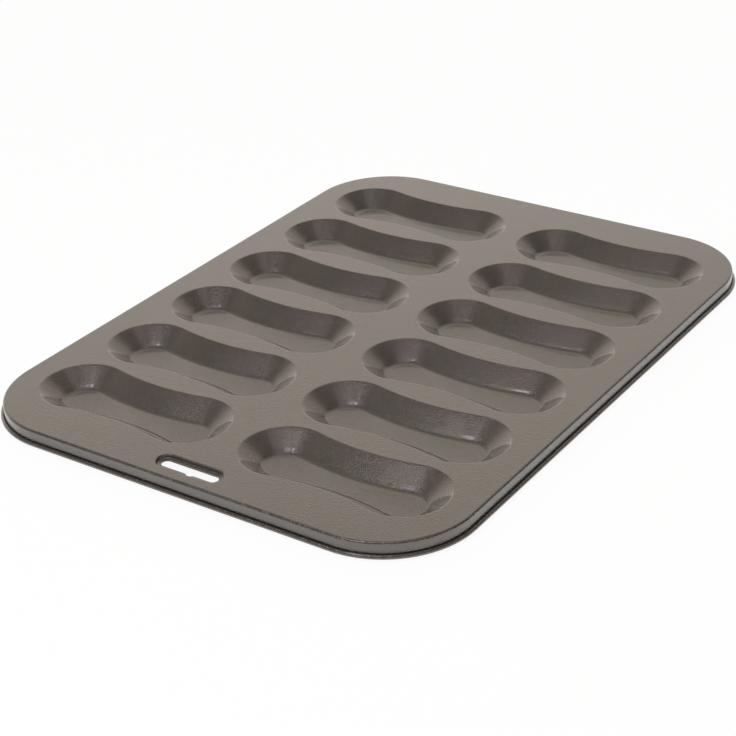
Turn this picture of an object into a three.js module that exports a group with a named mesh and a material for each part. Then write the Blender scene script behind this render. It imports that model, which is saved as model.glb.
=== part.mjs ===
// Eclair pan: one pressed steel sheet with two columns of shallow waisted cups, a slot for hanging it
// up and a skirt that is rolled outwards round a stiffening wire.
// Millimetres. X runs along the cups, Y along the pan's long sides and +Z is up. The origin lies under
// the middle of the pan, on the surface that the cups' floors stand on.

import * as THREE from 'three';

// Sheet
const SHEET_THICKNESS = 0.5;

// Cups: the floor's outline, and the wall that rises from it
const CUP_COLUMNS = 2;
const CUP_ROWS = 6;
const FLOOR_LENGTH = 87.8;
const FLOOR_END_WIDTH = 20.8;
const WAIST_DRAW = 3.7; // how far each long side is drawn in at the waist
const CUP_DEPTH = 8.5;
const WALL_RUN = 11.7; // level distance between the lip's and the floor's outlines
const LIP_RADIUS = 1.8;
const FLOOR_RADIUS = 3.6;

// Deck: what is left flat between and around the cups
const COLUMN_GAP = 13.4;
const ROW_GAP = 7.7;
const SIDE_MARGIN = 14.6;
const END_MARGIN = 24.6;
const CORNER_RADIUS = 45.1;

// Rim: the skirt under the deck's edge, and the wire in the roll at its foot
const RIM_BEND_RADIUS = 1.2;
const RIM_LIFT = 0.9; // height of the roll above the surface that the cups stand on
const CURL_SWEEP = THREE.MathUtils.degToRad(285);
const WIRE_DIAMETER = 0.9;
const WIRE_CLEARANCE = 0.2;
const WIRE_BUTT_GAP = 0.6;

// Slot for hanging: the clear opening, the sunk ledge round it and the notch that finds the hook
const SLOT_LENGTH = 32.7;
const SLOT_WIDTH = 5.3;
const SLOT_BORDER = 6.3; // flat deck between the skirt's face and the bend down to the ledge
const LEDGE_WIDTH = 1.35;
const LEDGE_DEPTH = 1.8;
const LEDGE_RADIUS = 0.9; // of the bends above and below the step down to the ledge
const LEDGE_SLOPE = THREE.MathUtils.degToRad(75);
const NOTCH_RADIUS = 3;
const NOTCH_DEPTH = 1;
const NOTCH_OFFSET = 1.7; // from the slot's middle, along X

// Facets
const END_STEPS = 10;
const WAIST_STEPS = 3;
const FILLET_STEPS = 2;
const CORNER_STEPS = 8;
const BEND_STEPS = 3;
const CURL_STEPS = 10;
const SLOT_END_STEPS = 8;
const NOTCH_STEPS = 4;
const WIRE_SIDES = 8;

// Sizes that follow from those above
const deckTop = SHEET_THICKNESS + CUP_DEPTH;
const wallSlope = Math.atan2(CUP_DEPTH, WALL_RUN);
const lipEndRadius = FLOOR_END_WIDTH / 2 + WALL_RUN;
const lipWaist = lipEndRadius - WAIST_DRAW;
const endCentre = (FLOOR_LENGTH - FLOOR_END_WIDTH) / 2;
const columnPitch = FLOOR_LENGTH + 2 * WALL_RUN + COLUMN_GAP;
const rowPitch = 2 * lipEndRadius + ROW_GAP;
const deckHalfWidth = (CUP_COLUMNS * columnPitch - COLUMN_GAP) / 2 + SIDE_MARGIN;
const deckHalfLength = (CUP_ROWS * rowPitch - ROW_GAP) / 2 + END_MARGIN;
const curlRadius = WIRE_DIAMETER / 2 + WIRE_CLEARANCE;
const curlHeight = RIM_LIFT + SHEET_THICKNESS + curlRadius;
const ledgeBends = 2 * LEDGE_RADIUS * (1 - Math.cos(LEDGE_SLOPE)); // the drop in both bends
const ledgeStep = (LEDGE_DEPTH - ledgeBends) / Math.sin(LEDGE_SLOPE);
const ledgeRun = 2 * LEDGE_RADIUS * Math.sin(LEDGE_SLOPE) + ledgeStep * Math.cos(LEDGE_SLOPE);
const slotSurround = ledgeRun + LEDGE_WIDTH;
const slotCentreY = -deckHalfLength + SLOT_BORDER + slotSurround + SLOT_WIDTH / 2;

// The waist's arc touches both end arcs, so its radius follows from the three outline sizes.
const waistRadius = (endCentre ** 2 + lipWaist ** 2 - lipEndRadius ** 2) / (2 * WAIST_DRAW);
const endSweep = Math.atan2(lipWaist + waistRadius, -endCentre);

// Points of an arc, without the last one, which the next arc starts with.
function arc(x, y, radius, from, to, steps) {
  const curve = new THREE.EllipseCurve(x, y, radius, radius, from, to, to < from);
  return curve.getPoints(steps).slice(0, -1);
}

// A cup's outline, at a distance inside its lip, round a centre on the deck.
function cupOutline(inset, centre) {
  const end = lipEndRadius - inset;
  const waist = waistRadius + inset;
  const waistCentre = lipWaist + waistRadius;
  const back = [endSweep - Math.PI, -endSweep];
  const front = [endSweep, Math.PI - endSweep];
  const points = [
    ...arc(endCentre, 0, end, -endSweep, endSweep, END_STEPS),
    ...arc(0, waistCentre, waist, ...back, WAIST_STEPS),
    ...arc(-endCentre, 0, end, Math.PI - endSweep, Math.PI + endSweep, END_STEPS),
    ...arc(0, -waistCentre, waist, ...front, WAIST_STEPS),
  ];
  return points.map((point) => point.add(centre));
}

// The pan's outline, at a distance outside the skirt's face. It starts after the middle of the far side.
function rimOutline(outset) {
  const x = deckHalfWidth - CORNER_RADIUS;
  const y = deckHalfLength - CORNER_RADIUS;
  const corners = [[-x, y], [-x, -y], [x, -y], [x, y]];
  const quarter = Math.PI / 2;
  return corners.flatMap(([cornerX, cornerY], turn) => {
    const from = (turn + 1) * quarter;
    const radius = CORNER_RADIUS + outset;
    const corner = new THREE.EllipseCurve(cornerX, cornerY, radius, radius, from, from + quarter);
    return corner.getPoints(CORNER_STEPS);
  });
}

// The slot's outline, at a distance inside the start of the bend down to its ledge.
function slotOutline(inset) {
  const grown = slotSurround - inset;
  const end = SLOT_WIDTH / 2 + grown;
  const x = (SLOT_LENGTH - SLOT_WIDTH) / 2;
  const notch = NOTCH_RADIUS + grown;
  const notchHalf = Math.acos((notch - NOTCH_DEPTH) / notch);
  const notchY = notch - NOTCH_DEPTH - end;
  const quarter = Math.PI / 2;
  const notchArc = new THREE.EllipseCurve(
    NOTCH_OFFSET, notchY, notch, notch, -quarter - notchHalf, -quarter + notchHalf,
  );
  const points = [
    ...new THREE.EllipseCurve(x, 0, end, end, -quarter, quarter).getPoints(SLOT_END_STEPS),
    ...new THREE.EllipseCurve(-x, 0, end, end, quarter, 3 * quarter).getPoints(SLOT_END_STEPS),
    ...notchArc.getPoints(NOTCH_STEPS),
  ];
  return points.map((point) => point.add(new THREE.Vector2(0, slotCentreY)));
}

// The way that the sheet takes from the flat deck through bends and straight runs, square to an outline.
// Each station on the upper face holds the distance gone, the drop and the tilt reached there.
class SheetSection {
  constructor(run) {
    this.stations = [{ run, drop: 0, tilt: 0 }];
  }

  // Bends down for a positive angle and up for a negative one, round the upper face's radius.
  bend(radius, angle, steps) {
    const start = this.stations.at(-1);
    const side = Math.sign(angle) * radius;
    for (let step = 1; step <= steps; step += 1) {
      const tilt = start.tilt + (angle * step) / steps;
      const run = start.run + side * (Math.sin(tilt) - Math.sin(start.tilt));
      const drop = start.drop + side * (Math.cos(start.tilt) - Math.cos(tilt));
      this.stations.push({ run, drop, tilt });
    }
    return this;
  }

  straight(length) {
    const { run, drop, tilt } = this.stations.at(-1);
    this.stations.push({ run: run + length * Math.cos(tilt), drop: drop + length * Math.sin(tilt), tilt });
    return this;
  }
}

// Gathers rings of points, and the faces between them, into one closed body.
class Skin {
  constructor() {
    this.positions = [];
    this.triangles = [];
  }

  ring(outline, height) {
    return outline.map((point) => this.positions.push(point.x, point.y, height) / 3 - 1);
  }

  // Faces from a ring to the next one. They look up where the next ring lies inside.
  strip(ring, next) {
    ring.forEach((corner, place) => {
      const after = (place + 1) % ring.length;
      this.triangles.push(corner, ring[after], next[after], corner, next[after], next[place]);
    });
  }

  strips(rings) {
    rings.slice(1).forEach((next, place) => this.strip(rings[place], next));
  }

  // Flat face that closes the end of a convex tube.
  cap(ring) {
    ring.slice(2).forEach((corner, place) => this.triangles.push(ring[0], ring[place + 1], corner));
  }

  // Flat level face inside a ring, around the rings of its holes.
  flat(ring, holes, looksUp) {
    const outline = (numbers) => numbers.map(
      (number) => new THREE.Vector2(this.positions[3 * number], this.positions[3 * number + 1]),
    );
    const numbers = [ring, ...holes].flat();
    const faces = THREE.ShapeUtils.triangulateShape(outline(ring), holes.map(outline));
    for (const face of faces) {
      const corners = face.map((corner) => numbers[corner]);
      this.triangles.push(...(looksUp ? corners : corners.reverse()));
    }
  }

  // Rings of both faces of the sheet, where a section is carried round an outline.
  sheet(section, outlineAt) {
    const upper = section.stations.map(({ run, drop }) => this.ring(outlineAt(run), deckTop - drop));
    const lower = section.stations.map(({ run, drop, tilt }) => {
      const outline = outlineAt(run - SHEET_THICKNESS * Math.sin(tilt));
      return this.ring(outline, deckTop - drop - SHEET_THICKNESS * Math.cos(tilt));
    });
    return { upper, lower };
  }

  mesh(name, material) {
    const geometry = new THREE.BufferGeometry();
    geometry.setAttribute('position', new THREE.Float32BufferAttribute(this.positions, 3));
    geometry.setIndex(this.triangles);
    geometry.computeVertexNormals();
    const mesh = new THREE.Mesh(geometry, material);
    mesh.name = name;
    return mesh;
  }
}

function rim(skin) {
  const skirtLength = deckTop - RIM_BEND_RADIUS - curlHeight;
  const section = new SheetSection(-RIM_BEND_RADIUS)
    .bend(RIM_BEND_RADIUS, Math.PI / 2, BEND_STEPS)
    .straight(skirtLength)
    .bend(curlRadius, -CURL_SWEEP, CURL_STEPS);
  const { upper, lower } = skin.sheet(section, rimOutline);
  skin.strips([...lower, ...upper.toReversed()]);
  return { upper: upper[0], lower: lower[0] };
}

function cup(skin, centre) {
  const tangent = Math.tan(wallSlope / 2);
  const wallLength = Math.hypot(WALL_RUN, CUP_DEPTH) - (LIP_RADIUS + FLOOR_RADIUS) * tangent;
  const section = new SheetSection(-LIP_RADIUS * tangent)
    .bend(LIP_RADIUS, wallSlope, FILLET_STEPS)
    .straight(wallLength)
    .bend(FLOOR_RADIUS, -wallSlope, FILLET_STEPS);
  const { upper, lower } = skin.sheet(section, (inset) => cupOutline(inset, centre));
  skin.strips(upper);
  skin.flat(upper.at(-1), [], true);
  skin.strips(lower.toReversed());
  skin.flat(lower.at(-1), [], false);
  return { upper: upper[0], lower: lower[0] };
}

function hangingSlot(skin) {
  const section = new SheetSection(0)
    .bend(LEDGE_RADIUS, LEDGE_SLOPE, BEND_STEPS)
    .straight(ledgeStep)
    .bend(LEDGE_RADIUS, -LEDGE_SLOPE, BEND_STEPS)
    .straight(LEDGE_WIDTH);
  const { upper, lower } = skin.sheet(section, slotOutline);
  skin.strips([...upper, ...lower.toReversed()]);
  return { upper: upper[0], lower: lower[0] };
}

function cupCentres() {
  const centres = [];
  for (let row = 0; row < CUP_ROWS; row += 1) {
    for (let column = 0; column < CUP_COLUMNS; column += 1) {
      const x = (column - (CUP_COLUMNS - 1) / 2) * columnPitch;
      const y = (row - (CUP_ROWS - 1) / 2) * rowPitch;
      centres.push(new THREE.Vector2(x, y));
    }
  }
  return centres;
}

// The pressed sheet, with everything that is formed in it
function panSheet() {
  const coat = new THREE.MeshStandardMaterial({ color: 0x7d766f, roughness: 0.42, metalness: 0.55 });
  const skin = new Skin();
  const edge = rim(skin);
  const openings = [...cupCentres().map((centre) => cup(skin, centre)), hangingSlot(skin)];
  skin.flat(edge.upper, openings.map((opening) => opening.upper), true);
  skin.flat(edge.lower, openings.map((opening) => opening.lower), false);
  return skin.mesh('pan_sheet', coat);
}

// The wire inside the roll, one length bent round the pan with its ends butted on the far side
function rimWire() {
  const steel = new THREE.MeshStandardMaterial({ color: 0xb4b4b2, roughness: 0.35, metalness: 1 });
  const skin = new Skin();
  const radius = WIRE_DIAMETER / 2;
  const sides = Array.from({ length: WIRE_SIDES }, (_, side) => {
    const angle = (2 * Math.PI * side) / WIRE_SIDES;
    const outset = curlRadius + radius * Math.cos(angle);
    const endY = deckHalfLength + outset;
    const start = new THREE.Vector2(-WIRE_BUTT_GAP / 2, endY);
    const finish = new THREE.Vector2(WIRE_BUTT_GAP / 2, endY);
    return skin.ring([start, ...rimOutline(outset), finish], curlHeight + radius * Math.sin(angle));
  });
  // Read across the sides, the same points are the wire's sections, from one end to the other.
  const sections = sides[0].map((_, place) => sides.map((side) => side[place]));
  skin.strips(sections.toReversed());
  skin.cap(sections[0]);
  skin.cap(sections.at(-1).toReversed());
  return skin.mesh('rim_wire', steel);
}

const pan = new THREE.Group();
pan.name = 'eclair_pan';
pan.add(panSheet(), rimWire());

export default pan;
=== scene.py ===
# %% [markdown]
# # An eclair pan, pressed from one steel sheet
# The real pan starts as a flat sheet of thin steel. A press draws twelve waisted cups and a slot for a hook
# into it, folds its edge down into a skirt and rolls the skirt's foot round a wire, and a dark non-stick
# coat covers it all. So this lesson models a sheet and not a block: one surface that bends, which gets its
# thickness at the end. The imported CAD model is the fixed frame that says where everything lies, in metres.

import math

import bmesh
import bpy
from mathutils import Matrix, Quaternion, Vector
from mathutils.geometry import delaunay_2d_cdt
from mathutils.kdtree import KDTree


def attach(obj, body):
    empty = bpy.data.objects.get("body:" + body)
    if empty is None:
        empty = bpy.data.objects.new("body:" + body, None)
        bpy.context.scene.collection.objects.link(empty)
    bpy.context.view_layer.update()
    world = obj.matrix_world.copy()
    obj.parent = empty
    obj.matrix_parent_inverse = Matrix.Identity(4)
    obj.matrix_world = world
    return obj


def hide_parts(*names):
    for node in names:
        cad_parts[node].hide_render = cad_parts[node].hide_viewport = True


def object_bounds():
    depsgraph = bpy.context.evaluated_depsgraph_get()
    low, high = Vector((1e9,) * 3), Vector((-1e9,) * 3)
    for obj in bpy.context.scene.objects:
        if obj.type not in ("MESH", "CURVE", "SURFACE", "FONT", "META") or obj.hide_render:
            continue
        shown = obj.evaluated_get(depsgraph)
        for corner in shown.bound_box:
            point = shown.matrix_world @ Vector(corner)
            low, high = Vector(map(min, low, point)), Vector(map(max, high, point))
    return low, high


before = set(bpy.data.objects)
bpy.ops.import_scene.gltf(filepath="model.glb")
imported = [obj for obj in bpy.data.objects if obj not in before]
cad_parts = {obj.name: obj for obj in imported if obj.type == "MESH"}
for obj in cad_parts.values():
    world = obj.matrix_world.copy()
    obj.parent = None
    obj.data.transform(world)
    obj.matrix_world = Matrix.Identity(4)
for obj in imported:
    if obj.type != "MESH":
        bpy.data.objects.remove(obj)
cad_low, cad_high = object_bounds()
MM = 0.001
print("CAD nodes:", sorted(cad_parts))
print("CAD box, mm:", [round(size / MM, 2) for size in cad_high - cad_low])

# %% [markdown]
# ## The camera
# The photograph looks down on the pan from its front right. A camera could be turned by eye until it looks
# about right, but twelve equal cups and a straight rim pin it down much better: these are the angles, the
# distance and the focal length at which all those outlines fall on their places in the picture. A pan that
# is flat leaves little else to measure by, so the small roll of the camera counts too.

# %% Place the camera
PICTURE_SIDE = 736
FOCAL_LENGTH_PIXELS = 1842.2
VIEW_AZIMUTH = math.radians(35.213)
VIEW_ELEVATION = math.radians(28.569)
VIEW_ROLL = math.radians(-2.566)
VIEW_DISTANCE = 0.92604
VIEW_TARGET = Vector((0.01777, -0.04346, 0.009))

to_camera = Vector((
    math.sin(VIEW_AZIMUTH) * math.cos(VIEW_ELEVATION),
    -math.cos(VIEW_AZIMUTH) * math.cos(VIEW_ELEVATION),
    math.sin(VIEW_ELEVATION),
))
lens = bpy.data.cameras.new("photograph_view")
lens.sensor_width = 36
lens.lens = FOCAL_LENGTH_PIXELS / PICTURE_SIDE * lens.sensor_width
lens.clip_start = 0.01
camera = bpy.data.objects.new("photograph_view", lens)
camera.rotation_mode = "QUATERNION"
camera.location = VIEW_TARGET + VIEW_DISTANCE * to_camera
camera.rotation_quaternion = (-to_camera).to_track_quat("-Z", "Y") @ Quaternion((0, 0, 1), VIEW_ROLL)
bpy.context.scene.collection.objects.link(camera)
bpy.context.scene.camera = camera
bpy.context.scene.view_settings.view_transform = "Standard"
print("camera at", [round(x, 3) for x in camera.location], "lens", round(lens.lens, 1), "mm")

# %% [markdown]
# ## The way a sheet bends
# Every formed place on the pan has the same story: the sheet leaves the flat deck, bends, runs straight,
# bends again. A cup's wall, the skirt with its roll and the slot's ledge differ only in the order of bends
# and runs. So a small class walks that way in two dimensions and notes each station: how far it has gone
# from the outline, and how far down. Carried round an outline, each station becomes a ring of points.

# %% A path of bends and straight runs
class SheetPath:
    """Stations of the sheet's upper face, square to an outline: distance gone, and drop below the deck."""

    def __init__(self, start):
        self.stations = [(start, 0.0)]
        self.tilt = 0.0

    def bend(self, radius, angle, steps):
        """Bends down for a positive angle and up for a negative one."""
        run, drop = self.stations[-1]
        side = math.copysign(radius, angle)
        first = self.tilt
        for step in range(1, steps + 1):
            self.tilt = first + angle * step / steps
            along = run + side * (math.sin(self.tilt) - math.sin(first))
            down = drop + side * (math.cos(first) - math.cos(self.tilt))
            self.stations.append((along, down))
        return self

    def straight(self, length, steps=1):
        run, drop = self.stations[-1]
        for step in range(1, steps + 1):
            part = length * step / steps
            self.stations.append((run + part * math.cos(self.tilt), drop + part * math.sin(self.tilt)))
        return self


# %% [markdown]
# ## A skin of rings
# Blender could bevel and subdivide a rough cage into such a pan, but then the sizes would drift with every
# subdivision. Here the rings lie exactly where the sheet is, and strips of quads join each ring to the next.
# Next to each bend lies one more ring on the flat, 0.4 mm away: smooth shading then keeps the flat places
# flat and turns only in the bends.

# %% Rings and strips
HOLDING_STEP = 0.4 * MM
deck_top = cad_high.z
skin = bmesh.new()


def ring(outline, height):
    return [skin.verts.new((x, y, height)) for x, y in outline]


def strip(outer, inner):
    """Quads that look up where the second ring lies inside the first."""
    for place in range(len(outer)):
        after = (place + 1) % len(outer)
        skin.faces.new((outer[place], outer[after], inner[after], inner[place]))


def carry(path, outline_at):
    """Carries a path round an outline, and returns its rings in the path's order."""
    return [ring(outline_at(run), deck_top - drop) for run, drop in path.stations]


def arc(x, y, radius, start, end, steps):
    """Points of an arc, without the last one, which the next stretch begins with."""
    turns = [start + (end - start) * step / steps for step in range(steps)]
    return [(x + radius * math.cos(turn), y + radius * math.sin(turn)) for turn in turns]


# %% [markdown]
# ## The rim
# The deck ends in a tight bend and a short vertical skirt. At its foot the skirt rolls outwards and back on
# itself, round a wire, which stiffens the pan and hides the cut edge. The cut edge comes to lie in the
# crease between roll and skirt. The outline is a rectangle with large round corners; the whole rim has to
# stay in the CAD box, so the skirt's place is counted back from that box, with a hair to spare.

# %% The rim's outline and rings
SHEET = 0.5 * MM
WIRE_RADIUS = 0.45 * MM
WIRE_ROOM = 0.2 * MM
RIM_BEND = 1.2 * MM
RIM_LIFT = 0.9 * MM
ROLL_SWEEP = math.radians(285)
CORNER_RADIUS = 45.1 * MM
SIDE_STEP = 8 * MM
CORNER_STEPS = 20
BEND_STEPS = 8
SKIRT_STEPS = 3
ROLL_STEPS = 28
QUARTER = math.pi / 2
HAIR = 0.001 * MM

roll_radius = WIRE_RADIUS + WIRE_ROOM
roll_height = RIM_LIFT + SHEET + roll_radius
skirt_x = cad_high.x - 2 * roll_radius - SHEET - HAIR
skirt_y = cad_high.y - 2 * roll_radius - SHEET - HAIR


def rim_outline(outset):
    """The pan's outline, at a distance outside the skirt's face."""
    x = skirt_x - CORNER_RADIUS
    y = skirt_y - CORNER_RADIUS
    radius = CORNER_RADIUS + outset
    sides = [((-x, y), 2 * y), ((-x, -y), 2 * x), ((x, -y), 2 * y), ((x, y), 2 * x)]
    points = []
    for turn, (corner, side) in enumerate(sides):
        start = (turn + 1) * QUARTER
        points += arc(*corner, radius, start, start + QUARTER, CORNER_STEPS)
        end = Vector(corner) + radius * Vector((-math.sin(start), math.cos(start)))
        way = Vector((-math.cos(start), -math.sin(start)))
        steps = round(side / SIDE_STEP)
        points += [tuple(end + way * side * step / steps) for step in range(steps)]
    return points


rim_path = (
    SheetPath(-RIM_BEND - HOLDING_STEP)
    .straight(HOLDING_STEP)
    .bend(RIM_BEND, QUARTER, BEND_STEPS)
    .straight(deck_top - RIM_BEND - roll_height, SKIRT_STEPS)
    .bend(roll_radius, -ROLL_SWEEP, ROLL_STEPS)
)
rim_rings = carry(rim_path, rim_outline)
for inner, outer in zip(rim_rings, rim_rings[1:]):
    strip(outer, inner)
deck_edge = rim_rings[0]
print("rim:", len(rim_rings), "rings of", len(deck_edge), "points")

# %% [markdown]
# ## The cups
# Seen from above a cup is a dog bone: two round ends, and long sides that are drawn in at the waist by an
# arc that touches both ends. Seen in section it is a soft bend at the lip, a sloping wall and a soft bend
# into a flat floor. The wall swings a few degrees steeper at its foot, where the punch pulls the sheet
# tight, and it is there that a lamp glints in the round ends. All twelve are pressed by the same tool, so
# one path is carried round one outline and moved to twelve places.

# %% The cups' outline and rings
FLOOR_LENGTH = 87.8 * MM
FLOOR_END_WIDTH = 20.8 * MM
WAIST_DRAW = 3.7 * MM
CUP_DEPTH = 8.5 * MM
WALL_RUN = 11.7 * MM
LIP_BEND = 1.8 * MM
FOOT_SWING = 19 * MM
FOOT_STEEPENING = math.radians(6)
FLOOR_BEND = 4.2 * MM
END_STEPS = 34
WAIST_STEPS = 18
LIP_STEPS = 6
WALL_STEPS = 3
SWING_STEPS = 4

lip_end_radius = FLOOR_END_WIDTH / 2 + WALL_RUN
lip_waist = lip_end_radius - WAIST_DRAW
end_centre = (FLOOR_LENGTH - FLOOR_END_WIDTH) / 2
waist_radius = (end_centre**2 + lip_waist**2 - lip_end_radius**2) / (2 * WAIST_DRAW)
waist_centre = lip_waist + waist_radius
end_sweep = math.atan2(waist_centre, -end_centre)


def cup_outline(inset, centre):
    """A cup's outline, at a distance inside its lip."""
    end = lip_end_radius - inset
    waist = waist_radius + inset
    points = [
        *arc(end_centre, 0, end, -end_sweep, end_sweep, END_STEPS),
        *arc(0, waist_centre, waist, end_sweep - math.pi, -end_sweep, WAIST_STEPS),
        *arc(-end_centre, 0, end, math.pi - end_sweep, math.pi + end_sweep, END_STEPS),
        *arc(0, -waist_centre, waist, end_sweep, math.pi - end_sweep, WAIST_STEPS),
    ]
    return [(x + centre[0], y + centre[1]) for x, y in points]


def cup_path():
    """The wall is straight, but swings a little steeper at its foot, where the punch draws it tight."""
    slope = math.atan2(CUP_DEPTH, WALL_RUN)
    foot = slope + FOOT_STEEPENING
    bends = LIP_BEND * (1 - math.cos(slope))
    bends += FOOT_SWING * (math.cos(slope) - math.cos(foot))
    bends += FLOOR_BEND * (1 - math.cos(foot))
    start = -LIP_BEND * math.tan(slope / 2)
    return (
        SheetPath(start - HOLDING_STEP)
        .straight(HOLDING_STEP)
        .bend(LIP_BEND, slope, LIP_STEPS)
        .straight((CUP_DEPTH - bends) / math.sin(slope), WALL_STEPS)
        .bend(FOOT_SWING, FOOT_STEEPENING, SWING_STEPS)
        .bend(FLOOR_BEND, -foot, BEND_STEPS)
        .straight(HOLDING_STEP)
    )


COLUMNS = 2
ROWS = 6
COLUMN_PITCH = 124.6 * MM
ROW_PITCH = 51.9 * MM
cup_centres = [
    ((column - (COLUMNS - 1) / 2) * COLUMN_PITCH, (row - (ROWS - 1) / 2) * ROW_PITCH)
    for row in range(ROWS)
    for column in range(COLUMNS)
]
cup_mouths = []
cup_floors = []
for centre in cup_centres:
    rings = carry(cup_path(), lambda inset: cup_outline(inset, centre))
    for outer, inner in zip(rings, rings[1:]):
        strip(outer, inner)
    cup_mouths.append(rings[0])
    cup_floors.append(rings[-1])
print("cups:", len(cup_centres), "each with", len(rings), "rings of", len(rings[0]), "points")

# %% [markdown]
# ## The slot for a hook
# Near the front edge the press sinks a narrow ledge and pierces the slot in its floor, so that no cut edge
# stands at the deck's height. A small notch in the front side lets the pan settle on its hook. The notch
# is an arc in the outline; everything else is again a path: a bend down, a bend back and the flat ledge.

# %% The slot's outline and rings
SLOT_LENGTH = 32.7 * MM
SLOT_WIDTH = 5.3 * MM
SLOT_BORDER = 6.3 * MM
LEDGE_WIDTH = 1.35 * MM
LEDGE_DEPTH = 1.8 * MM
LEDGE_BEND = 0.9 * MM
LEDGE_SLOPE = math.radians(75)
NOTCH_RADIUS = 3 * MM
NOTCH_DEPTH = 1 * MM
NOTCH_OFFSET = 1.7 * MM
SLOT_END_STEPS = 18
SLOT_SIDE_STEPS = 8
NOTCH_STEPS = 12
LEDGE_STEPS = 2

ledge_bends = 2 * LEDGE_BEND * (1 - math.cos(LEDGE_SLOPE))
ledge_step = (LEDGE_DEPTH - ledge_bends) / math.sin(LEDGE_SLOPE)
ledge_run = 2 * LEDGE_BEND * math.sin(LEDGE_SLOPE) + ledge_step * math.cos(LEDGE_SLOPE)
slot_surround = ledge_run + LEDGE_WIDTH
slot_y = -skirt_y + SLOT_BORDER + slot_surround + SLOT_WIDTH / 2


def slot_outline(inset):
    """The slot's outline, at a distance inside the start of the bend down to its ledge."""
    grown = slot_surround - inset
    end = SLOT_WIDTH / 2 + grown
    x = (SLOT_LENGTH - SLOT_WIDTH) / 2
    notch = NOTCH_RADIUS + grown
    half = math.acos((notch - NOTCH_DEPTH) / notch)
    points = [
        *arc(x, 0, end, -QUARTER, QUARTER, SLOT_END_STEPS),
        *[(x - 2 * x * step / SLOT_SIDE_STEPS, end) for step in range(SLOT_SIDE_STEPS)],
        *arc(-x, 0, end, QUARTER, 3 * QUARTER, SLOT_END_STEPS),
        (-x, -end),
        *arc(NOTCH_OFFSET, notch - NOTCH_DEPTH - end, notch, -QUARTER - half, -QUARTER + half, NOTCH_STEPS),
        (NOTCH_OFFSET + notch * math.sin(half), -end),
    ]
    return [(px, py + slot_y) for px, py in points]


slot_path = (
    SheetPath(-HOLDING_STEP)
    .straight(HOLDING_STEP)
    .bend(LEDGE_BEND, LEDGE_SLOPE, BEND_STEPS)
    .straight(ledge_step, LEDGE_STEPS)
    .bend(LEDGE_BEND, -LEDGE_SLOPE, BEND_STEPS)
    .straight(LEDGE_WIDTH, LEDGE_STEPS)
)
slot_rings = carry(slot_path, slot_outline)
for outer, inner in zip(slot_rings, slot_rings[1:]):
    strip(outer, inner)
print("slot:", len(slot_rings), "rings of", len(slot_rings[0]), "points")

# %% [markdown]
# ## The flat places
# What is left is flat: the deck, which is one face with thirteen holes, and the floors. Blender can fill such
# a border with one large face, but its long thin triangles shade badly and bake badly. A Delaunay
# triangulation with some points strewn on the flat keeps the triangles even, and it keeps the borders as
# they are, so the deck joins the bends without a seam.

# %% Fill the deck and the floors
FLAT_CELL = 7 * MM
FLAT_ROW = 0.87 * FLAT_CELL
BORDER_ROOM = 0.6 * FLAT_CELL
SAME_PLACE = 0.001 * MM
INSIDE_WITH_HOLES = 2


def fill_flat(border, holes, height):
    """Even triangles between a border ring and the rings of its holes."""
    loops = [border, *holes]
    corners = [corner for loop in loops for corner in loop]
    tree = KDTree(len(corners))
    for number, corner in enumerate(corners):
        tree.insert((corner.co.x, corner.co.y, 0), number)
    tree.balance()
    borders = []
    for loop in loops:
        first = sum(len(done) for done in borders)
        borders.append([first + place for place in range(len(loop))])
    columns = int(skirt_x / FLAT_CELL)
    rows = int(skirt_y / FLAT_ROW)
    strewn = []
    for row in range(-rows, rows + 1):
        for column in range(-columns, columns + 1):
            spot = Vector(((column + 0.5 * (row % 2)) * FLAT_CELL, row * FLAT_ROW, 0))
            if tree.find(spot)[2] > BORDER_ROOM:
                strewn.append(spot.xy)
    points = [corner.co.xy for corner in corners] + strewn
    filled = delaunay_2d_cdt(points, [], borders, INSIDE_WITH_HOLES, SAME_PLACE)
    spots, _, faces, origins, _, _ = filled
    made = {}
    for face in faces:
        for spot in face:
            if spot not in made:
                source = origins[spot][0]
                new = source >= len(corners)
                made[spot] = skin.verts.new((*spots[spot], height)) if new else corners[source]
        skin.faces.new([made[spot] for spot in face])
    return len(faces)


deck_faces = fill_flat(deck_edge, [*cup_mouths, slot_rings[0]], deck_top)
floor_faces = sum(fill_flat(floor, [], deck_top - CUP_DEPTH) for floor in cup_floors)
print("flat places:", deck_faces, "faces on the deck,", floor_faces, "on the floors")

# %% [markdown]
# ## Half a millimetre of steel
# So far the pan is a skin without thickness. The Solidify modifier gives it the sheet's half millimetre, all
# of it downwards, because the rings describe the upper face. It also closes the cut edges in the slot and
# in the roll. The result is kept as a plain mesh, smooth everywhere but along those cut edges.

# %% Make the pan's sheet
CUT_EDGE = math.radians(50)


def settle(piece):
    """Replaces a piece's mesh by what its modifiers make of it."""
    shaped = piece.evaluated_get(bpy.context.evaluated_depsgraph_get())
    mesh = bpy.data.meshes.new_from_object(shaped)
    piece.modifiers.clear()
    piece.data = mesh
    mesh.name = piece.name
    return mesh


sheet_mesh = bpy.data.meshes.new("pressed_sheet")
skin.to_mesh(sheet_mesh)
skin.free()
pressed_sheet = bpy.data.objects.new("pressed_sheet", sheet_mesh)
bpy.context.scene.collection.objects.link(pressed_sheet)
thicken = pressed_sheet.modifiers.new("sheet thickness", "SOLIDIFY")
thicken.thickness = SHEET
thicken.offset = -1
thicken.use_even_offset = True
sheet_mesh = settle(pressed_sheet)
sheet_mesh.shade_smooth()
sheet_mesh.set_sharp_from_angle(angle=CUT_EDGE)
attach(pressed_sheet, "root")
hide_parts("pan_sheet")
print("pressed sheet:", len(sheet_mesh.vertices), "vertices,", len(sheet_mesh.polygons), "faces")

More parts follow.
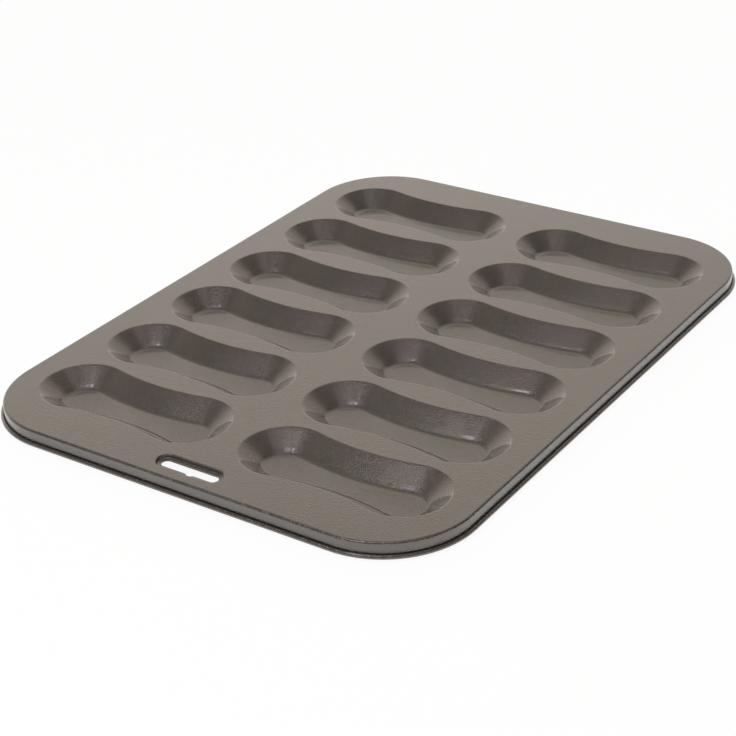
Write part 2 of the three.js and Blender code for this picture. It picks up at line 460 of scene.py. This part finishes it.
# %% [markdown]
# ## The wire in the roll
# A length of drawn steel wire lies in the roll, and its two ends meet at the middle of the far side. It is
# a curve with a round bevel: the curve gives the route, the bevel gives the thickness, and the caps close
# the cut ends.

# %% Make the rim's wire
BUTT_GAP = 0.6 * MM
WIRE_ROUNDNESS = 4
WIRE_NAME = "stiffening_wire"

far_half = round(2 * (skirt_x - CORNER_RADIUS) / SIDE_STEP) // 2
around = rim_outline(roll_radius)
route = [*around[-far_half:], *around[:-far_half]]
route[0] = (-BUTT_GAP / 2, skirt_y + roll_radius)
route.append((BUTT_GAP / 2, skirt_y + roll_radius))
wire_curve = bpy.data.curves.new(WIRE_NAME, "CURVE")
wire_curve.dimensions = "3D"
wire_curve.bevel_depth = WIRE_RADIUS
wire_curve.bevel_resolution = WIRE_ROUNDNESS
wire_curve.use_fill_caps = True
spline = wire_curve.splines.new("POLY")
spline.points.add(len(route) - 1)
for point, (x, y) in zip(spline.points, route):
    point.co = (x, y, roll_height, 1)
drawn = bpy.data.objects.new("wire_route", wire_curve)
bpy.context.scene.collection.objects.link(drawn)
shaped_wire = drawn.evaluated_get(bpy.context.evaluated_depsgraph_get())
wire_mesh = bpy.data.meshes.new_from_object(shaped_wire)
wire_mesh.name = WIRE_NAME
bpy.data.objects.remove(drawn)
stiffening_wire = bpy.data.objects.new(WIRE_NAME, wire_mesh)
bpy.context.scene.collection.objects.link(stiffening_wire)
wire_mesh.shade_smooth()
wire_mesh.set_sharp_from_angle(angle=CUT_EDGE)
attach(stiffening_wire, "root")
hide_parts("rim_wire")
wire_length = sum((Vector(after) - Vector(before)).length for before, after in zip(route, route[1:]))
print("wire:", round(wire_length, 3), "m long")

# %% [markdown]
# ## Shader maths as Python
# A material is a graph of nodes, and a graph written node by node is hard to read. One small class wraps a
# socket, so that an expression such as 1 - mask adds the Math node that it needs. Every other node comes
# from its method called node, which takes the node's type, then its settings, then its sockets.

# %% A socket that can be calculated with
class Flow:
    """An output socket in a node tree."""

    def __init__(self, tree, socket=None):
        self.tree = tree
        self.socket = socket

    def node(self, kind, settings=None, sockets=None, output=0):
        made = self.tree.nodes.new(kind)
        for name, value in (settings or {}).items():
            setattr(made, name, value)
        for name, value in (sockets or {}).items():
            if isinstance(value, Flow):
                self.tree.links.new(value.socket, made.inputs[name])
            else:
                made.inputs[name].default_value = value
        return Flow(self.tree, made.outputs[output] if made.outputs else None)

    def math(self, operation, first, second):
        return self.node("ShaderNodeMath", {"operation": operation}, {0: first, 1: second})

    def __add__(self, other):
        return self.math("ADD", self, other)

    def __radd__(self, other):
        return self.math("ADD", other, self)

    def __sub__(self, other):
        return self.math("SUBTRACT", self, other)

    def __rsub__(self, other):
        return self.math("SUBTRACT", other, self)

    def __mul__(self, other):
        return self.math("MULTIPLY", self, other)

    def __rmul__(self, other):
        return self.math("MULTIPLY", other, self)

    def blend(self, factor, first, second):
        """Mixes two colours."""
        return self.node("ShaderNodeMix", {"data_type": "RGBA"}, {0: factor, 6: first, 7: second}, 2)

    def ramp(self, low, high):
        """0 up to a low value, 1 from a high one, smooth between them."""
        limits = {"From Min": low, "From Max": high, "Value": self}
        return self.node("ShaderNodeMapRange", {"interpolation_type": "SMOOTHSTEP"}, limits)


def new_material(name):
    """An empty material, and a start for its nodes."""
    material = bpy.data.materials.new(name)
    material.use_nodes = True
    material.node_tree.nodes.clear()
    return material, Flow(material.node_tree)


# %% [markdown]
# ## The non-stick coat
# The coat is a dark, warm grey with fine metal flakes under a clear, satin skin. The flakes lie at slightly
# different angles, so a wall that mirrors the edge of a lamp looks grainy while the deck, which mirrors
# an even backdrop, looks smooth. A speckled colour alone would make both equally grainy, so the grain has
# to tilt the surface. Its bump goes into the base layer only: the clear skin on top keeps the sheet's own
# smooth normal, and its low roughness keeps the glints at the cups' feet small.

# %% Mix the coat
FLAKE_SCALE = 1700.0
GRAIN_SCALE = 1300.0
GRAIN_HEIGHT = 0.18 * MM
CLOUD_SCALE = 55.0
COAT_DARK = (0.132, 0.117, 0.103, 1)
COAT_LIGHT = (0.158, 0.140, 0.124, 1)
FLAKE_SHARE = 0.75
FLAKE_ROUGHNESS = 0.23
CLEAR_SKIN_ROUGHNESS = 0.1
CLEAR_SKIN_IOR = 1.55


def mix_coat():
    material, flow = new_material("nonstick_coat")
    place = flow.node("ShaderNodeTexCoord", output="Object")
    flakes = flow.node("ShaderNodeTexVoronoi", {}, {"Vector": place, "Scale": FLAKE_SCALE}, "Color")
    flake = flow.node("ShaderNodeSeparateColor", {}, {"Color": flakes})
    cloud = flow.node("ShaderNodeTexNoise", {}, {"Vector": place, "Scale": CLOUD_SCALE, "Detail": 3.0})
    grain = flow.node("ShaderNodeTexVoronoi", {}, {"Vector": place, "Scale": GRAIN_SCALE}, "Distance")
    shade = (flake * 0.3 + cloud * 0.5).ramp(0.1, 0.7)
    relief = {"Strength": 1.0, "Distance": GRAIN_HEIGHT, "Height": grain}
    bump = flow.node("ShaderNodeBump", {}, relief, "Normal")
    coat = flow.node("ShaderNodeBsdfPrincipled", {}, {
        "Base Color": flow.blend(shade, COAT_DARK, COAT_LIGHT),
        "Metallic": FLAKE_SHARE,
        "Roughness": FLAKE_ROUGHNESS + 0.06 * cloud,
        "Coat Weight": 1.0,
        "Coat Roughness": CLEAR_SKIN_ROUGHNESS,
        "Coat IOR": CLEAR_SKIN_IOR,
        "Normal": bump,
    })
    flow.node("ShaderNodeOutputMaterial", {}, {"Surface": coat})
    return material


pressed_sheet.data.materials.append(mix_coat())
print("coat on", pressed_sheet.name)

# %% [markdown]
# ## Drawn steel
# The wire was pulled through a die, which leaves fine lines along it. Noise that is stretched along the
# pan's sides would break at the corners, so the lines follow the wire's height instead.

# %% Polish the wire
LINE_STRETCH = (60.0, 60.0, 9000.0)
LINE_DEPTH = 0.05 * MM
STEEL_DARK = (0.52, 0.51, 0.5, 1)
STEEL_LIGHT = (0.66, 0.65, 0.63, 1)
STEEL_ROUGHNESS = 0.28


def polish_wire():
    material, flow = new_material("wire_steel")
    place = flow.node("ShaderNodeTexCoord", output="Object")
    stretch = flow.node("ShaderNodeVectorMath", {"operation": "MULTIPLY"}, {0: place, 1: LINE_STRETCH})
    lines = flow.node("ShaderNodeTexNoise", {}, {"Vector": stretch, "Scale": 1.0, "Detail": 2.0})
    relief = {"Strength": 0.15, "Distance": LINE_DEPTH, "Height": lines}
    bump = flow.node("ShaderNodeBump", {}, relief, "Normal")
    steel = flow.node("ShaderNodeBsdfPrincipled", {}, {
        "Base Color": flow.blend(lines, STEEL_DARK, STEEL_LIGHT),
        "Metallic": 1.0,
        "Roughness": STEEL_ROUGHNESS + 0.16 * lines,
        "Normal": bump,
    })
    flow.node("ShaderNodeOutputMaterial", {}, {"Surface": steel})
    return material


stiffening_wire.data.materials.append(polish_wire())
print("steel on", stiffening_wire.name)

# %% [markdown]
# ## A white table
# The photograph's table is plain white. A white floor that is lit to pure white would flood the pan with
# light from below, so the white is shown only to the camera and to mirrors of it, by the Light Path node.
# Some of the lamps' light still counts there, so that the pan's shadow stays on the table.

# %% Lay the table
TABLE_SIZE = 20.0
TABLE_GAP = 0.2 * MM
TABLE_COLOUR = (0.8, 0.8, 0.8, 1)
SHADOW_COLOUR = (0.14, 0.14, 0.14, 1)
SHOWN_WHITE = 0.92


def table_white():
    material, flow = new_material("table_white")
    path = flow.node("ShaderNodeLightPath", output="Is Camera Ray")
    glossy = Flow(flow.tree, path.socket.node.outputs["Is Glossy Ray"])
    through = Flow(flow.tree, path.socket.node.outputs["Is Transmission Ray"])
    shown = path.math("MAXIMUM", path, path.math("MAXIMUM", glossy, through))
    matt = flow.node("ShaderNodeBsdfDiffuse", {}, {"Color": TABLE_COLOUR})
    shaded = flow.node("ShaderNodeBsdfDiffuse", {}, {"Color": SHADOW_COLOUR})
    white = flow.node("ShaderNodeEmission", {}, {"Color": (1, 1, 1, 1), "Strength": SHOWN_WHITE})
    seen = flow.node("ShaderNodeAddShader", {}, {0: white, 1: shaded})
    both = flow.node("ShaderNodeMixShader", {}, {0: shown, 1: matt, 2: seen})
    flow.node("ShaderNodeOutputMaterial", {}, {"Surface": both})
    return material


table_mesh = bpy.data.meshes.new("white_table")
half = TABLE_SIZE / 2
table_corners = [(x, y, -TABLE_GAP) for x, y in ((-half, -half), (half, -half), (half, half), (-half, half))]
table_mesh.from_pydata(table_corners, [], [(0, 1, 2, 3)])
white_table = bpy.data.objects.new("white_table", table_mesh)
bpy.context.scene.collection.objects.link(white_table)
table_mesh.materials.append(table_white())
print("table:", TABLE_SIZE, "m square")

# %% [markdown]
# ## Soft studio light
# A dark glossy pan shows the room more than its own colour, so the room is laid out from what each face of
# the pan mirrors towards the camera. The deck and the cups' left ends mirror a pale, warm wall behind the
# pan. The cups' back walls mirror cool soft boxes in front of it, and a small far key box makes the glints
# at the walls' feet. All of it stays at a plain level, because more light would only wash out the coat's
# own colour.

# %% Hang the lamps
def toward(azimuth, elevation):
    """A direction, with azimuth 0 at the far side and 90 on the right."""
    turn = math.radians(azimuth)
    rise = math.radians(elevation)
    return Vector((math.sin(turn) * math.cos(rise), math.cos(turn) * math.cos(rise), math.sin(rise)))


def soft_box(name, azimuth, elevation, distance, size, brightness, colour):
    """A box that faces the pan. The brightness is that of its cloth, where 1 is a white wall."""
    lamp = bpy.data.lights.new(name, "AREA")
    lamp.shape = "RECTANGLE"
    lamp.size, lamp.size_y = size
    lamp.energy = brightness * math.pi * size[0] * size[1]
    lamp.color = colour
    box = bpy.data.objects.new(name, lamp)
    box.location = toward(azimuth, elevation) * distance
    box.rotation_mode = "QUATERNION"
    box.rotation_quaternion = (-toward(azimuth, elevation)).to_track_quat("-Z", "Y")
    bpy.context.scene.collection.objects.link(box)
    return box


NEAR = 1.2
FAR = 4.0
BOX = (0.34, 0.26)
LONG_BOX = (0.78, 0.26)
TOP_BOX = (0.5, 0.3)
KEY_BOX = (0.48, 0.32)
soft_box("front_box", -175, 50, NEAR, BOX, 4.5, (0.99, 0.93, 1.10))
soft_box("camera_box", 168, 61, NEAR, BOX, 2.0, (0.97, 0.93, 1.10))
soft_box("left_box", -158, 61, NEAR, BOX, 0.5, (1.0, 1.05, 0.85))
soft_box("side_box", 133, 72, NEAR, LONG_BOX, 0.42, (1.0, 1.0, 1.0))
soft_box("top_box", 15, 83, NEAR, TOP_BOX, 0.42, (1.1, 0.92, 0.92))
soft_box("key_box", -159, 63, FAR, KEY_BOX, 6.0, (1.0, 0.98, 0.94))

# %% [markdown]
# ## The room
# The room itself is painted on the world by direction: each part is full within some degrees of a direction
# and fades out at a wider angle. The pale wall behind has a left part, which the deck mirrors, and a right
# part, which the cups' left ends mirror. A paler patch above it lights the soft bends round the cups. Two
# darker places behind the right keep the cups' corners and the deck's edge dark. A picture of a real studio
# could light the pan as well, but these few angles and colours are easier to change by hand.

# %% Paint the room
FILL_COLOUR = (0.308, 0.288, 0.268, 1)
WALL_COLOUR = (0.668, 0.607, 0.544, 1)
PATCH_COLOUR = (0.326, 0.321, 0.266, 1)
WALL_TOP = (0.5, 0.68)
DARK_TOP = (0.3, 0.5)


def cosine(degrees):
    return math.cos(math.radians(degrees))


def studio_room():
    world = bpy.data.worlds.new("studio_room")
    world.use_nodes = True
    world.node_tree.nodes.clear()
    flow = Flow(world.node_tree)
    looking = flow.node("ShaderNodeTexCoord", output="Generated")
    up = flow.node("ShaderNodeSeparateXYZ", {}, {"Vector": looking}, "Z")

    def near(azimuth, elevation):
        """How nearly a ray points in a direction, as a cosine."""
        dot = {"operation": "DOT_PRODUCT"}
        return flow.node("ShaderNodeVectorMath", dot, {0: looking, 1: toward(azimuth, elevation)}, "Value")

    left_wall = near(-56, 0).ramp(cosine(60), cosine(25.84)) * (1 - up.ramp(*WALL_TOP))
    right_wall = 0.9 * near(0, 20).ramp(cosine(33), cosine(13))
    wall = flow.math("MAXIMUM", left_wall, right_wall)
    patch = near(-25, 50).ramp(cosine(24), cosine(10))
    low_dark = 0.95 * near(26, 0).ramp(cosine(48.7), cosine(30.68)) * (1 - up.ramp(*DARK_TOP))
    high_dark = 0.42 * near(40, 36).ramp(cosine(36), cosine(18))
    dim = 1 - flow.math("MAXIMUM", low_dark, high_dark)
    fill = flow.node("ShaderNodeBackground", {}, {"Color": FILL_COLOUR, "Strength": dim})
    pale = flow.node("ShaderNodeBackground", {}, {"Color": WALL_COLOUR, "Strength": wall})
    paler = flow.node("ShaderNodeBackground", {}, {"Color": PATCH_COLOUR, "Strength": patch})
    both = flow.node("ShaderNodeAddShader", {}, {0: pale, 1: paler})
    room = flow.node("ShaderNodeAddShader", {}, {0: fill, 1: both})
    flow.node("ShaderNodeOutputWorld", {}, {"Surface": room})
    return world


bpy.context.scene.world = studio_room()
print("room:", len(bpy.context.scene.world.node_tree.nodes), "nodes")
